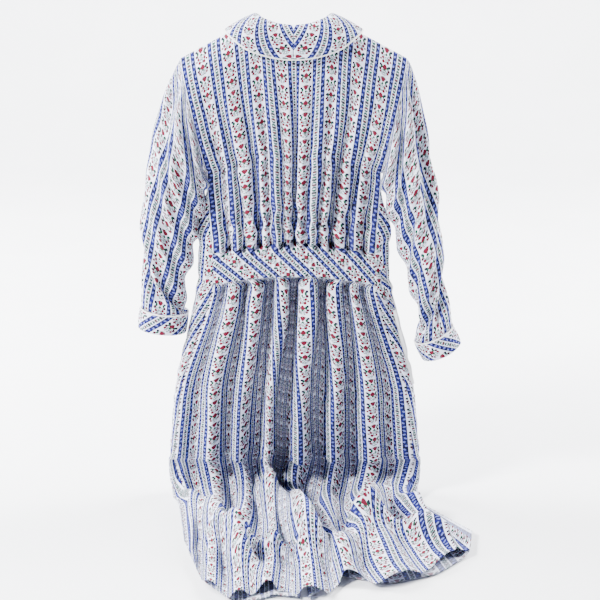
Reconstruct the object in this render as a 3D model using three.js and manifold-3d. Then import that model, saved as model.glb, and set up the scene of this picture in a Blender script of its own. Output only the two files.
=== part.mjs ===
// A long, full-skirted gown on its hanger line: +Z up, +Y to the wearer's front, +X to the wearer's right.
// The origin is midway between the two points where the shoulder seams meet the neck, where a hanger bears.
// Every cloth panel is a thin closed shell along the drape of the real panel. Its lower skirt lies on a floor.
import * as THREE from "three";
import Module from "manifold-3d";

const wasm = await Module();
wasm.setup();

// Driving dimensions, mm. A drop is a distance below the origin.
const CLOTH = 4; // thickness of a panel's shell
const TRIM = 2; // thickness of a collar, facing or cuff layer
const SEAM = 0.8; // gap between two panels that are sewn together
const SHOULDER_HALF = 220;
const SHOULDER_DROP = 76;
const SHOULDER_ROUND = 45; // how far down the shoulder's round top reaches
const NECK_HALF = 75;
const BACK_NECK_DROP = 20;
const BACK_NECK_DEPTH = 30;
const FRONT_NECK_DROP = 105;
const ARMHOLE_DEPTH = 40;
const UNDERARM_HALF = 174;
const UNDERARM_DROP = 300;
const BACK_DEPTH = 45;
const FRONT_DEPTH = 45;
const WAIST_DROP = 440;
const WAIST_HALF = 165;
const WAIST_SAG = 22; // how much lower the waistband's ends hang than its middle
const BAND_HEIGHT = 66;
const SEAM_DEPTH = 28; // how far behind the shoulder line the side seam hangs at the waist
const FRONT_FULLNESS = 44; // how far the loose front stands out past the side seam
const SKIRT_HALF = 226; // half the skirt's width at the floor, at the side seams
const FLOOR_DROP = 1015;
const GOWN_LENGTH = 1450; // neck point to hem along the cloth
const BEND_RADIUS = 100; // where the skirt turns from hanging to lying
const POOL_STACK = 0.24; // how flat the skirt's depth lies on the floor
const POOL_FAN = 0.42; // how much the skirt widens on the floor
const POOL_SHIFT = 26; // how far the lying skirt leans to the wearer's right
const POOL_SIDE = 0.45; // how much shorter the lying skirt is at its sides

const COLLAR_BACK_DROP = 83; // the collar's edge at centre back
const COLLAR_HALF = 132; // the collar's edge on the shoulder
const COLLAR_FRONT = [44, 168]; // the collar's front corner: half width and drop
const COLLAR_STAND = 14; // how far the collar reaches down inside the neck
const COLLAR_EASE = 3.8; // how loosely the collar lies on the gown
const STAND_EASE = 2.2; // gap between the collar's stand and the neck edge
const PIPING_RADIUS = 1.6;

const ARMHOLE_EASE = 28; // how far inside the armhole the front turns back to it
const SLEEVE_DEPTH = 54; // half the sleeve's depth at the elbow
const CUFF_DEPTH = 42; // half the cuff's depth
const CUFF_HEIGHT = 44;
// Where each sleeve's outer and inner line end, as half width and drop.
const SLEEVE_ENDS = {
  left: { outer: [318, 582], inner: [222, 594] },
  right: { outer: [330, 622], inner: [254, 660] },
};

const FRONT_GAP = 6; // from centre front to each front's edge
const FACING_HALF = 62; // how far from centre front each facing reaches at the neck
const ZIP_TOP = FRONT_NECK_DROP + COLLAR_STAND + 3;
const ZIP_LENGTH = 700;
const TAPE_THICKNESS = 1;
const TAPE_WIDTH = 15;
const COIL_WIDTH = 2.6;
const COIL_THICKNESS = 2.8;
const COIL_GAP = 0.7; // from centre front to each coil
const SLIDER_HEIGHT = 14;
const SLIDER_HALF = 5.2;
const SLIDER_PLATE = 1.6;
const PULL_WIDTH = 7;
const PULL_LENGTH = 32;
const PULL_THICKNESS = 1.3;

const WELT_TOP = 490;
const WELT_FOOT = 590;
const WELT_SHARE = [0.93, 0.86]; // where the welt's two ends lie across the front, from its edge to the side seam
const WELT_SPAN = 0.08; // the welt's width as a share of the front
const POCKET_DEPTH = 300;

const LOOP_HALF = 26;
const LOOP_DROP = 34;
const LOOP_WIDTH = 6;

const COTTON = 0xd9dcea;
const WHITE = 0xf7f7f5;
const NICKEL = 0xc9ccd0;

const clamp01 = (t) => Math.min(1, Math.max(0, t));
const lerp = (a, b, t) => a + (b - a) * t;
const ease = (t) => {
  const c = clamp01(t);
  return c * c * (3 - 2 * c);
};
const bezier = (p, t) => {
  const s = 1 - t;
  return s * s * s * p[0] + 3 * s * s * t * p[1] + 3 * s * t * t * p[2] + t * t * t * p[3];
};

// ---- The gown's lines ----

const bandTop = (a) => WAIST_DROP + WAIST_SAG * a * a;
const BAND_END = bandTop(1);
const BAND_FOOT = BAND_END + BAND_HEIGHT;

const shoulderDrop = (x) => (SHOULDER_DROP * (x - NECK_HALF)) / (SHOULDER_HALF - NECK_HALF);

function topDrop(x, neckDrop, power) {
  const ax = Math.abs(x);
  return ax >= NECK_HALF ? shoulderDrop(ax) : neckDrop * (1 - (ax / NECK_HALF) ** power);
}
const backTop = (x) => topDrop(x, BACK_NECK_DROP, 2);
const frontTop = (x) => topDrop(x, FRONT_NECK_DROP, 1.25);

// Half the back's width at a drop, from the shoulder tip down to the floor.
function sideHalf(drop) {
  if (drop < UNDERARM_DROP)
    return lerp(SHOULDER_HALF, UNDERARM_HALF, (drop - SHOULDER_DROP) / (UNDERARM_DROP - SHOULDER_DROP));
  if (drop < BAND_END)
    return lerp(UNDERARM_HALF, WAIST_HALF, ease((drop - UNDERARM_DROP) / (BAND_END - UNDERARM_DROP)));
  if (drop < BAND_FOOT) return WAIST_HALF;
  return lerp(WAIST_HALF, SKIRT_HALF, clamp01((drop - BAND_FOOT) / (FLOOR_DROP - BAND_FOOT)) ** 0.8);
}

// Half the armhole's depth at a drop: an ellipse from the shoulder tip to the underarm.
function armholeDepth(drop) {
  const middle = (SHOULDER_DROP + UNDERARM_DROP) / 2;
  const along = (drop - middle) / (UNDERARM_DROP - middle);
  return ARMHOLE_DEPTH * Math.sqrt(Math.max(0, 1 - along * along));
}
const seamDepth = (drop) => SEAM_DEPTH * ease((drop - UNDERARM_DROP) / (BAND_END - UNDERARM_DROP));

// How far round the shoulder's top a point has come: 0 on the seam, 1 where the panel hangs.
function overShoulder(drop, top) {
  const left = 1 - clamp01((drop - top) / SHOULDER_ROUND);
  return { out: Math.sqrt(1 - left * left), up: left };
}

const neckDepth = (x, depth) => depth * Math.sqrt(Math.max(0, 1 - (x / NECK_HALF) ** 2));

// Depth of the hanging back and front, from the shoulder line, at a share a of the half width.
function backDepth(a, level) {
  const side = level < UNDERARM_DROP ? armholeDepth(level) : seamDepth(level);
  return lerp(BACK_DEPTH, side, Math.abs(a) ** 2.5);
}

// ---- The skirt on the floor ----

// Bends a hanging point forwards on to the floor. The front is the lowest layer and the back the uppermost.
function layDown(x, y, drop) {
  const start = FLOOR_DROP - CLOTH / 2 - BEND_RADIUS;
  const turned = clamp01((drop - start) / ((BEND_RADIUS * Math.PI) / 2));
  const angle = (turned * Math.PI) / 2;
  const past = Math.max(0, drop - start - (BEND_RADIUS * Math.PI) / 2);
  const across = x / SKIRT_HALF;
  const run = past * (1 - POOL_SIDE * across * across);
  const share = past / (GOWN_LENGTH - start);
  const layer = (FRONT_DEPTH - y) * lerp(1, POOL_STACK, ease(turned));
  const farY = FRONT_DEPTH - BEND_RADIUS * (1 - Math.cos(angle)) - run;
  const farZ = drop < start ? -drop : -start - BEND_RADIUS * Math.sin(angle);
  return new THREE.Vector3(
    x * (1 + POOL_FAN * share) + POOL_SHIFT * share,
    farY - layer * Math.cos(angle),
    farZ + layer * Math.sin(angle),
  );
}

// ---- Solids from surfaces ----

const spread = (from, to, n) => Array.from({ length: n + 1 }, (_, i) => lerp(from, to, i / n));

// A closed solid from a surface given by point(u, v) at each u of us and v of vs. It reaches from one
// distance to another along the surface's normal. Where round is true, us closes into a ring.
function shell(point, us, vs, from, to, { round = false, flip = 1, steer = (n) => n } = {}) {
  const du = (us[1] - us[0]) * 1e-3;
  const dv = (vs[1] - vs[0]) * 1e-3;
  const uLimit = (u) => (round ? u : Math.min(us.at(-1), Math.max(us[0], u)));
  const vLimit = (v) => Math.min(vs.at(-1), Math.max(vs[0], v));
  const n = us.length;
  const layer = n * vs.length;
  const positions = [];
  for (const offset of [to, from])
    for (const v of vs)
      for (const u of us) {
        const across = point(uLimit(u + du), v).sub(point(uLimit(u - du), v));
        const down = point(u, vLimit(v + dv)).sub(point(u, vLimit(v - dv)));
        const normal = steer(across.cross(down).multiplyScalar(flip).normalize(), u, v).normalize();
        const p = point(u, v).addScaledVector(normal, offset);
        positions.push(p.x, p.y, p.z);
      }
  const at = (side, i, j) => side * layer + j * n + (i % n);
  const index = [];
  const quad = (a, b, c, d) => index.push(a, b, c, a, c, d);
  const columns = round ? n : n - 1;
  const rows = vs.length - 1;
  for (let j = 0; j < rows; j++)
    for (let i = 0; i < columns; i++) {
      quad(at(0, i, j), at(0, i + 1, j), at(0, i + 1, j + 1), at(0, i, j + 1));
      quad(at(1, i, j), at(1, i, j + 1), at(1, i + 1, j + 1), at(1, i + 1, j));
    }
  for (let i = 0; i < columns; i++) {
    quad(at(0, i + 1, 0), at(0, i, 0), at(1, i, 0), at(1, i + 1, 0));
    quad(at(0, i, rows), at(0, i + 1, rows), at(1, i + 1, rows), at(1, i, rows));
  }
  if (!round)
    for (let j = 0; j < rows; j++) {
      quad(at(0, 0, j), at(0, 0, j + 1), at(1, 0, j + 1), at(1, 0, j));
      quad(at(0, columns, j + 1), at(0, columns, j), at(1, columns, j), at(1, columns, j + 1));
    }
  return facingOut(positions, index);
}

// A closed round cord through a ring of points.
function ringCord(points, radius, sides) {
  const n = points.length;
  const middle = points.reduce((sum, p) => sum.add(p), new THREE.Vector3()).divideScalar(n);
  const positions = [];
  points.forEach((p, i) => {
    const along = points[(i + 1) % n].clone().sub(points[(i + n - 1) % n]).normalize();
    const up = along.clone().cross(p.clone().sub(middle)).normalize();
    const out = up.clone().cross(along);
    for (let k = 0; k < sides; k++) {
      const angle = (2 * Math.PI * k) / sides;
      const q = p.clone().addScaledVector(out, radius * Math.cos(angle));
      q.addScaledVector(up, radius * Math.sin(angle));
      positions.push(q.x, q.y, q.z);
    }
  });
  const at = (i, k) => (i % n) * sides + (k % sides);
  const index = [];
  for (let i = 0; i < n; i++)
    for (let k = 0; k < sides; k++) {
      index.push(at(i, k), at(i + 1, k), at(i + 1, k + 1));
      index.push(at(i, k), at(i + 1, k + 1), at(i, k + 1));
    }
  return facingOut(positions, index);
}

// The geometry with its faces pointing out, whichever way they were wound.
function facingOut(positions, index) {
  const corner = (i) => new THREE.Vector3().fromArray(positions, 3 * i);
  let volume = 0;
  for (let i = 0; i < index.length; i += 3)
    volume += corner(index[i]).dot(corner(index[i + 1]).cross(corner(index[i + 2])));
  if (volume < 0)
    for (let i = 0; i < index.length; i += 3) [index[i + 1], index[i + 2]] = [index[i + 2], index[i + 1]];
  const geometry = new THREE.BufferGeometry();
  geometry.setAttribute("position", new THREE.BufferAttribute(new Float32Array(positions), 3));
  geometry.setIndex(index);
  return geometry;
}

// An open round cord along a list of points.
function cord(points, radius, sides, steps) {
  const section = new THREE.Shape();
  for (let k = 0; k < sides; k++) {
    const angle = (2 * Math.PI * k) / sides;
    section[k ? "lineTo" : "moveTo"](radius * Math.cos(angle), radius * Math.sin(angle));
  }
  const extrudePath = new THREE.CatmullRomCurve3(points, false, "centripetal");
  return new THREE.ExtrudeGeometry(section, { extrudePath, steps, bevelEnabled: false });
}

function block(width, depth, height, x, y, z) {
  return new THREE.BoxGeometry(width, depth, height).translate(x, y, z);
}

const gown = new THREE.Group();

function add(name, geometry, color, roughness = 0.9, metalness = 0) {
  const mesh = new THREE.Mesh(geometry, new THREE.MeshStandardMaterial({ color, roughness, metalness }));
  mesh.name = name;
  gown.add(mesh);
}

// ---- Shared rows and columns, so that panels meet edge to edge ----

// Levels are drops measured at the side seam. The armhole's are closer together at its two ends.
const ARMHOLE_STEPS = [0, 0.02, 0.07, 0.155, 0.29, 0.5, 0.71, 0.845, 0.93, 0.98, 1];
const ARMHOLE_LEVELS = ARMHOLE_STEPS.map((s) => lerp(SHOULDER_DROP, UNDERARM_DROP, s));
const SIDE_LEVELS = spread(UNDERARM_DROP, BAND_END, 4);
const BAND_LEVELS = spread(BAND_END, BAND_FOOT, 2);
const BEND_START = FLOOR_DROP - CLOTH / 2 - BEND_RADIUS;
const BEND_END = BEND_START + (BEND_RADIUS * Math.PI) / 2;
const SKIRT_LEVELS = [
  ...spread(BAND_FOOT, BEND_START, 4),
  ...spread(BEND_START, BEND_END, 4).slice(1),
  ...spread(BEND_END, GOWN_LENGTH, 4).slice(1),
];
const BODICE_LEVELS = [...ARMHOLE_LEVELS, ...SIDE_LEVELS.slice(1)];
const FRONT_LEVELS = [...BODICE_LEVELS, ...BAND_LEVELS.slice(1), ...SKIRT_LEVELS.slice(1)];

const NECK_ANGLES = spread(0, Math.PI / 2, 5);
const NECK_COLUMNS = NECK_ANGLES.map((angle) => NECK_HALF * Math.sin(angle));
const SHOULDER_COLUMNS = [0.16, 0.38, 0.62, 0.83, 1].map((s) => lerp(NECK_HALF, SHOULDER_HALF, s));
const HALF_COLUMNS = [...NECK_COLUMNS.slice(1), ...SHOULDER_COLUMNS];
const BACK_SHARES = [...HALF_COLUMNS.map((x) => -x).reverse(), 0, ...HALF_COLUMNS].map((x) => x / SHOULDER_HALF);

// Turns a panel's thickness square to its edges, so that it never leans into its neighbour.
function squareTo(axis) {
  return (normal) => {
    normal[axis] = 0;
    return normal;
  };
}

// ---- Back: bodice, waistband and skirt ----

const shareOf = (level, levels) => (level - levels[0]) / (levels.at(-1) - levels[0]);

// A point of the back at a share a of its half width, from -1 to 1, and at a level.
function backPoint(a, drop, level) {
  const over = lerp(overShoulder(drop, backTop(a * SHOULDER_HALF)).out, 1, Math.abs(a) ** 24);
  const edge = neckDepth(Math.min(Math.abs(a) * SHOULDER_HALF, NECK_HALF), BACK_NECK_DEPTH);
  const x = a * (sideHalf(level) - SEAM / 2);
  return layDown(x, -(SEAM / 2 + lerp(edge, backDepth(a, level), over)), drop);
}

function backPanel(levels, topOf, footOf) {
  return (a, level) => backPoint(a, lerp(topOf(a), footOf(a), shareOf(level, levels)), level);
}

function backSteer(normal, a, level) {
  if (Math.abs(a) > 0.999) normal.x = 0;
  if (level === SHOULDER_DROP) normal.y = 0;
  return normal;
}

const bodiceTop = (a) => backTop(a * SHOULDER_HALF);
const bandFoot = (a) => bandTop(a) + BAND_HEIGHT;
const below = (line) => (a) => line(a) + SEAM;
const bodice = backPanel(BODICE_LEVELS, bodiceTop, bandTop);
const band = backPanel(BAND_LEVELS, below(bandTop), bandFoot);
const skirt = backPanel(SKIRT_LEVELS, below(bandFoot), () => GOWN_LENGTH);
const HALF = CLOTH / 2;
const SEWN = { steer: backSteer };

add("back_bodice", shell(bodice, BACK_SHARES, BODICE_LEVELS, -HALF, HALF, SEWN), COTTON);
add("back_waistband", shell(band, BACK_SHARES, BAND_LEVELS, -HALF, HALF, SEWN), COTTON);
add("back_skirt", shell(skirt, BACK_SHARES, SKIRT_LEVELS, -HALF, HALF, SEWN), COTTON);
const FACING_IN = HALF + SEAM / 2; // from the waistband's middle to its inner layer
add(
  "waistband_facing",
  shell(band, BACK_SHARES.slice(1, -1), BAND_LEVELS, FACING_IN, FACING_IN + TRIM, SEWN),
  COTTON,
);

// ---- Fronts: one full-length panel each side, wrapping round to the side seam ----

function frontX(t, level) {
  const half = sideHalf(level) + SEAM / 2;
  const full = FRONT_FULLNESS * ease((level - UNDERARM_DROP) / (WAIST_DROP - UNDERARM_DROP));
  const armhole = ARMHOLE_EASE * (1 - ease((level - UNDERARM_DROP * 0.8) / (UNDERARM_DROP * 0.3)));
  const middle = lerp(FRONT_GAP, half, 0.55) + full * 0.9;
  return bezier([FRONT_GAP, middle, half + full * 1.5 - armhole, half], t);
}

function frontPoint(side, t, level) {
  const hanging = level >= UNDERARM_DROP;
  const seamY = hanging ? -seamDepth(level) : armholeDepth(level);
  const x = frontX(t, level);
  const y = bezier([FRONT_DEPTH, FRONT_DEPTH, lerp(seamY, FRONT_DEPTH, 0.35), seamY], t);
  const topX = frontX(t, SHOULDER_DROP);
  const top = frontTop(topX);
  const drop = lerp(top, GOWN_LENGTH, shareOf(level, FRONT_LEVELS));
  const over = lerp(overShoulder(drop, top).out, 1, t ** 24);
  const edge = neckDepth(Math.min(topX, NECK_HALF), FRONT_DEPTH);
  return layDown(side * x, SEAM / 2 + lerp(edge, y, over), drop);
}

// Where a column at x on the shoulder line lies across the front.
function frontShare(x) {
  let low = 0;
  let high = 1;
  for (let i = 0; i < 40; i++) {
    const middle = (low + high) / 2;
    if (frontX(middle, SHOULDER_DROP) < x) low = middle;
    else high = middle;
  }
  return high;
}
const FRONT_SHARES = [0, ...HALF_COLUMNS.slice(0, -1).map(frontShare), 0.955, 1];

function frontSteer(normal, t, level) {
  if (t === 1 || t === 0) normal.x = 0;
  if (level === SHOULDER_DROP) normal.y = 0;
  return normal;
}

const SIDES = { left: -1, right: 1 };
for (const [name, side] of Object.entries(SIDES)) {
  const surface = (t, level) => frontPoint(side, t, level);
  add("front_" + name, shell(surface, FRONT_SHARES, FRONT_LEVELS, -HALF, HALF, { steer: frontSteer }), COTTON);
}

// ---- Collar: two layers each side, meeting at centre back, with piping in the edge ----

// A point standing off the gown's outside near the neck. The sign of facing is +1 in front and -1 behind.
function skinPoint(x, drop, facing, off) {
  const top = facing > 0 ? frontTop(x) : backTop(x);
  const over = overShoulder(drop, top);
  const full = facing > 0 ? FRONT_DEPTH : backDepth(x / SHOULDER_HALF, SHOULDER_DROP + drop * 0.5);
  const neck = x < NECK_HALF ? neckDepth(x, facing > 0 ? FRONT_DEPTH : BACK_NECK_DEPTH) : 0;
  const y = lerp(neck, Math.max(full, neck), over.out);
  return new THREE.Vector3(x, facing * (y + off * over.out), -drop + off * over.up);
}

// The collar at an angle round the neck, 0 at centre front and PI at centre back. Its row runs from -2 at the
// stand's foot to -1 at the neck edge, round the roll to 0, and on to 1 at the collar's edge.
const COLLAR_OFF = CLOTH / 2 + COLLAR_EASE + TRIM / 2;
const STAND_IN = STAND_EASE + TRIM / 2;
function collarPoint(side, angle, row) {
  const facing = Math.cos(angle) >= 0 ? 1 : -1;
  const s = Math.sin(angle);
  const c = Math.abs(Math.cos(angle));
  const half = Math.max(NECK_HALF * s, facing > 0 ? FRONT_GAP + 1 : SEAM / 2);
  const neckDrop = facing > 0 ? frontTop(half) : backTop(half);
  const outerX = lerp(facing > 0 ? COLLAR_FRONT[0] : SEAM / 2, COLLAR_HALF, s);
  const edgeDrop = facing > 0 ? COLLAR_FRONT[1] : COLLAR_BACK_DROP;
  const outerDrop = lerp(shoulderDrop(COLLAR_HALF), edgeDrop, c * c);
  const fall = clamp01(row);
  const p = skinPoint(lerp(half, outerX, fall), lerp(neckDrop, outerDrop, fall), facing, COLLAR_OFF);
  const slope = facing > 0 ? Math.atan((1.25 * FRONT_NECK_DROP * (half / NECK_HALF) ** 0.25) / NECK_HALF) : 0;
  const tilt = slope * clamp01((Math.PI / 2 - angle) / (Math.PI / 10)) * (1 - fall);
  p.x -= COLLAR_OFF * Math.sin(tilt) * Math.min(1, half / 30);
  p.z -= COLLAR_OFF * (1 - Math.cos(tilt)) * (1 - fall);
  const turned = clamp01(-row) * (Math.PI / 2);
  const inward = STAND_IN * Math.sin(turned);
  p.z -= COLLAR_OFF * (1 - Math.cos(turned)) + COLLAR_STAND * clamp01(-row - 1);
  p.y -= facing * inward * c;
  p.x -= Math.min(inward * s, p.x - SEAM / 2);
  p.x *= side;
  return p;
}

const SHOULDER_TURN = [80, 85, 90, 95, 100].map((degrees) => (degrees * Math.PI) / 180);
const COLLAR_ANGLES = [...NECK_ANGLES.slice(0, -1), ...SHOULDER_TURN];
COLLAR_ANGLES.push(...NECK_ANGLES.slice(0, -1).reverse().map((angle) => Math.PI - angle));
const COLLAR_ROWS = [-2, -1, -0.6, -0.3, 0, 0.04, 0.1, 0.2, 0.4, 0.7, 1];
const LAYER_STEP = TRIM + SEAM; // from one layer of cloth to the next

function collarSteer(normal, angle) {
  if (angle === 0 || angle === Math.PI) normal.x = 0;
  return normal;
}

for (const [name, side] of Object.entries(SIDES)) {
  const surface = (angle, row) => collarPoint(side, angle, row);
  const options = { flip: side, steer: collarSteer };
  const layer = (from) => shell(surface, COLLAR_ANGLES, COLLAR_ROWS, from - TRIM / 2, from + TRIM / 2, options);
  add("under_collar_" + name, layer(0), COTTON);
  add("upper_collar_" + name, layer(LAYER_STEP), COTTON);
  const edge = COLLAR_ANGLES.map((angle) => {
    const rim = collarPoint(side, angle, 1);
    const inside = collarPoint(side, angle, 0.94);
    const out = rim.clone().sub(inside).normalize();
    const lift = new THREE.Vector3(0, Math.sign(rim.y) * Math.min(1, Math.abs(rim.y) / 20), 0.4);
    return rim.addScaledVector(out, PIPING_RADIUS + SEAM).addScaledVector(lift.normalize(), LAYER_STEP / 2);
  });
  add("collar_piping_" + name, cord(edge, PIPING_RADIUS, 6, 36), WHITE);
}

// ---- Sleeves and cuffs ----

// A ring of the sleeve. t runs from the armhole, at 0, to the cuff's seam, at 1. angle 0 is the outer line.
function sleevePoint(name, side, angle, t) {
  const { outer, inner } = SLEEVE_ENDS[name];
  const topX = bezier([SHOULDER_HALF, SHOULDER_HALF + 50, lerp(SHOULDER_HALF, outer[0], 0.82), outer[0]], t);
  const top = bezier([SHOULDER_DROP, SHOULDER_DROP + 50, lerp(SHOULDER_DROP, outer[1], 0.5), outer[1]], t);
  const underX = bezier([UNDERARM_HALF, UNDERARM_HALF + 14, lerp(UNDERARM_HALF, inner[0], 0.7), inner[0]], t);
  const under = bezier([UNDERARM_DROP, UNDERARM_DROP + 14, lerp(UNDERARM_DROP, inner[1], 0.5), inner[1]], t);
  const depth = bezier([ARMHOLE_DEPTH, SLEEVE_DEPTH, SLEEVE_DEPTH, CUFF_DEPTH], t);
  const along = (1 + Math.cos(angle)) / 2;
  const x = lerp(underX, topX, along) + SEAM;
  return new THREE.Vector3(side * x, depth * Math.sin(angle), -lerp(under, top, along));
}

function cuffLean(name, side) {
  const { outer, inner } = SLEEVE_ENDS[name];
  return new THREE.Vector3(side * (inner[1] - outer[1]), 0, -(outer[0] - inner[0])).normalize();
}

// The cuff carries on down from the sleeve's end, a little wider than it.
function cuffPoint(name, side, angle, drop, grow) {
  const p = sleevePoint(name, side, angle, 1).addScaledVector(cuffLean(name, side), drop);
  p.x += side * grow * Math.cos(angle);
  p.y += grow * Math.sin(angle);
  return p;
}

// Round the sleeve at the armhole's own levels, down its front and up its back.
const DOWN = ARMHOLE_STEPS.map((s) => Math.acos(1 - 2 * s));
const SLEEVE_ANGLES = [...DOWN, ...DOWN.slice(1, -1).reverse().map((angle) => 2 * Math.PI - angle)];
const SLEEVE_ROWS = spread(0, 1, 11);
const CUFF_SEAM = 2 * PIPING_RADIUS + 2 * SEAM; // the piping lies between sleeve and cuff
const CUFF_ROWS = spread(CUFF_SEAM, CUFF_HEIGHT, 2);
const CUFF_GROWTH = 2;
for (const [name, side] of Object.entries(SIDES)) {
  const lean = cuffLean(name, side);
  const steer = (normal, angle, t) => {
    if (t === 0) normal.x = 0;
    if (t === 1) normal.addScaledVector(lean, -normal.dot(lean));
    return normal;
  };
  const ring = { round: true, flip: side };
  const sleeve = (angle, t) => sleevePoint(name, side, angle, t);
  const cuff = (angle, drop) => cuffPoint(name, side, angle, drop, CUFF_GROWTH);
  add("sleeve_" + name, shell(sleeve, SLEEVE_ANGLES, SLEEVE_ROWS, -HALF, HALF, { ...ring, steer }), COTTON);
  add("cuff_" + name, shell(cuff, SLEEVE_ANGLES, CUFF_ROWS, -TRIM / 2, TRIM / 2, ring), COTTON);
  const inside = -LAYER_STEP;
  add(
    "cuff_facing_" + name,
    shell(cuff, SLEEVE_ANGLES, CUFF_ROWS, inside - TRIM / 2, inside + TRIM / 2, ring),
    COTTON,
  );
  const seam = SLEEVE_ANGLES.map((angle) => cuffPoint(name, side, angle, CUFF_SEAM / 2, CUFF_GROWTH / 2));
  add("cuff_piping_" + name, ringCord(seam, PIPING_RADIUS, 6), WHITE);
}

// ---- Pocket in the right front: a slanting welt outside and a bag that hangs flat inside ----

const weltPoint = (u, v) => frontPoint(1, lerp(...WELT_SHARE, v) + u * WELT_SPAN, lerp(WELT_TOP, WELT_FOOT, v));
const WELT_OUT = HALF + SEAM;
const weltAcross = spread(-0.5, 0.5, 4);
const weltDown = spread(0, 1, 8);
add("pocket_welt", shell(weltPoint, weltAcross, weltDown, WELT_OUT, WELT_OUT + TRIM, { flip: 1 }), COTTON);
const bagShares = FRONT_SHARES.filter((t) => t > 0.3 && t < 0.99);
const bagLevels = FRONT_LEVELS.filter((level) => level > BAND_END - 1 && level < BAND_END + POCKET_DEPTH);
const bagSurface = (t, level) => frontPoint(1, t, level);
add("pocket_bag", shell(bagSurface, bagShares, bagLevels, -HALF - SEAM - TRIM, -HALF - SEAM, { flip: 1 }), WHITE);

// ---- Front facings and zip ----

const TAPE_Y = FRONT_DEPTH - CLOTH / 2 - SEAM / 2 - TAPE_THICKNESS / 2;
const ZIP_FOOT = ZIP_TOP + ZIP_LENGTH;
const zipMiddle = (ZIP_TOP + ZIP_FOOT) / 2;
const FRONT_FACING_IN = CLOTH / 2 + SEAM + TAPE_THICKNESS + SEAM;
const FACING_SHARES = FRONT_SHARES.filter((t) => frontX(t, SHOULDER_DROP) < FACING_HALF);
const FACING_LEVELS = FRONT_LEVELS.filter((l) => l > SHOULDER_DROP + COLLAR_STAND + SEAM && l < ZIP_FOOT + 30);
const COIL_MIDDLE = COIL_GAP + COIL_WIDTH / 2;
const TAPE_INNER = COIL_GAP + COIL_WIDTH + 0.3;

for (const [name, side] of Object.entries(SIDES)) {
  const surface = (t, level) => frontPoint(side, t, level);
  const facing = [-FRONT_FACING_IN - TRIM, -FRONT_FACING_IN];
  const options = { flip: side, steer: frontSteer };
  add("front_facing_" + name, shell(surface, FACING_SHARES, FACING_LEVELS, ...facing, options), COTTON);
  const tapeX = side * (TAPE_INNER + TAPE_WIDTH / 2);
  add("zip_tape_" + name, block(TAPE_WIDTH, TAPE_THICKNESS, ZIP_LENGTH, tapeX, TAPE_Y, -zipMiddle), WHITE);
  const coil = new THREE.CylinderGeometry(0.5, 0.5, ZIP_LENGTH - 12, 10).rotateX(Math.PI / 2);
  coil.scale(COIL_WIDTH, COIL_THICKNESS, 1).translate(side * COIL_MIDDLE, TAPE_Y, -zipMiddle);
  add("zip_coil_" + name, coil, WHITE, 0.5);
  const stopX = side * COIL_MIDDLE;
  const stop = block(COIL_WIDTH, COIL_THICKNESS + 0.4, 4, stopX, TAPE_Y, -(ZIP_TOP + 3));
  add("zip_top_stop_" + name, stop, NICKEL, 0.35, 1);
}
add(
  "zip_bottom_stop",
  block(2 * (COIL_GAP + COIL_WIDTH), COIL_THICKNESS + 0.6, 4, 0, TAPE_Y, -(ZIP_FOOT - 3)),
  NICKEL,
  0.35,
  1,
);

// Joins closed geometries into one with manifold-3d.
function joined(geometries) {
  const solids = geometries.map((geometry) => {
    const g = geometry.index ? geometry.toNonIndexed() : geometry;
    const positions = g.getAttribute("position").array;
    const found = new Map();
    const vertices = [];
    const triVerts = new Uint32Array(positions.length / 3);
    for (let i = 0; i < positions.length; i += 3) {
      const key = [0, 1, 2].map((k) => positions[i + k].toFixed(4)).join();
      if (!found.has(key)) {
        found.set(key, vertices.length / 3);
        vertices.push(positions[i], positions[i + 1], positions[i + 2]);
      }
      triVerts[i / 3] = found.get(key);
    }
    return new wasm.Manifold(new wasm.Mesh({ numProp: 3, vertProperties: new Float32Array(vertices), triVerts }));
  });
  const mesh = solids.reduce((a, b) => a.add(b)).getMesh();
  const geometry = new THREE.BufferGeometry();
  geometry.setAttribute("position", new THREE.BufferAttribute(new Float32Array(mesh.vertProperties), 3));
  geometry.setIndex(Array.from(mesh.triVerts));
  return geometry;
}

// The slider: two plates round the coils, joined by a web between them, with a bridge for the pull in front.
const SLIDER_DROP = ZIP_TOP + 5.4 + SLIDER_HEIGHT / 2;
const INSIDE = COIL_THICKNESS / 2 + 1.2; // from the coils' middle to each plate
const LIP = 1; // width of the lip at each plate's side
const LIP_TIP = TAPE_THICKNESS / 2 + 0.5;
const WEB_HALF = 0.35;
const BRIDGE_Y = TAPE_Y + INSIDE + SLIDER_PLATE;
const BRIDGE_GAP = 2.3;
const BRIDGE_BAR = 1.2;
const BRIDGE_HALF = 4;
const PULL_Y = BRIDGE_Y + BRIDGE_GAP / 2;

const sliderParts = [block(2 * WEB_HALF, 2 * INSIDE + 0.2, SLIDER_HEIGHT, 0, TAPE_Y, -SLIDER_DROP)];
for (const face of [1, -1]) {
  const plateY = TAPE_Y + face * (INSIDE + SLIDER_PLATE / 2);
  sliderParts.push(block(2 * SLIDER_HALF, SLIDER_PLATE, SLIDER_HEIGHT, 0, plateY, -SLIDER_DROP));
  for (const side of [1, -1]) {
    const lipY = TAPE_Y + (face * (INSIDE + 0.1 + LIP_TIP)) / 2;
    const lipX = side * (SLIDER_HALF - LIP / 2);
    sliderParts.push(block(LIP, INSIDE + 0.1 - LIP_TIP, SLIDER_HEIGHT, lipX, lipY, -SLIDER_DROP));
  }
}
const bridgeTop = BRIDGE_Y + BRIDGE_GAP + BRIDGE_BAR / 2;
sliderParts.push(block(1.8, BRIDGE_BAR, 2 * BRIDGE_HALF, 0, bridgeTop, -SLIDER_DROP));
for (const end of [1, -1]) {
  const post = block(1.8, BRIDGE_GAP + 0.4, 1, 0, BRIDGE_Y + BRIDGE_GAP / 2, -SLIDER_DROP + end * (BRIDGE_HALF - 0.5));
  sliderParts.push(post);
}
add("zip_slider", joined(sliderParts), NICKEL, 0.3, 1);

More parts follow.
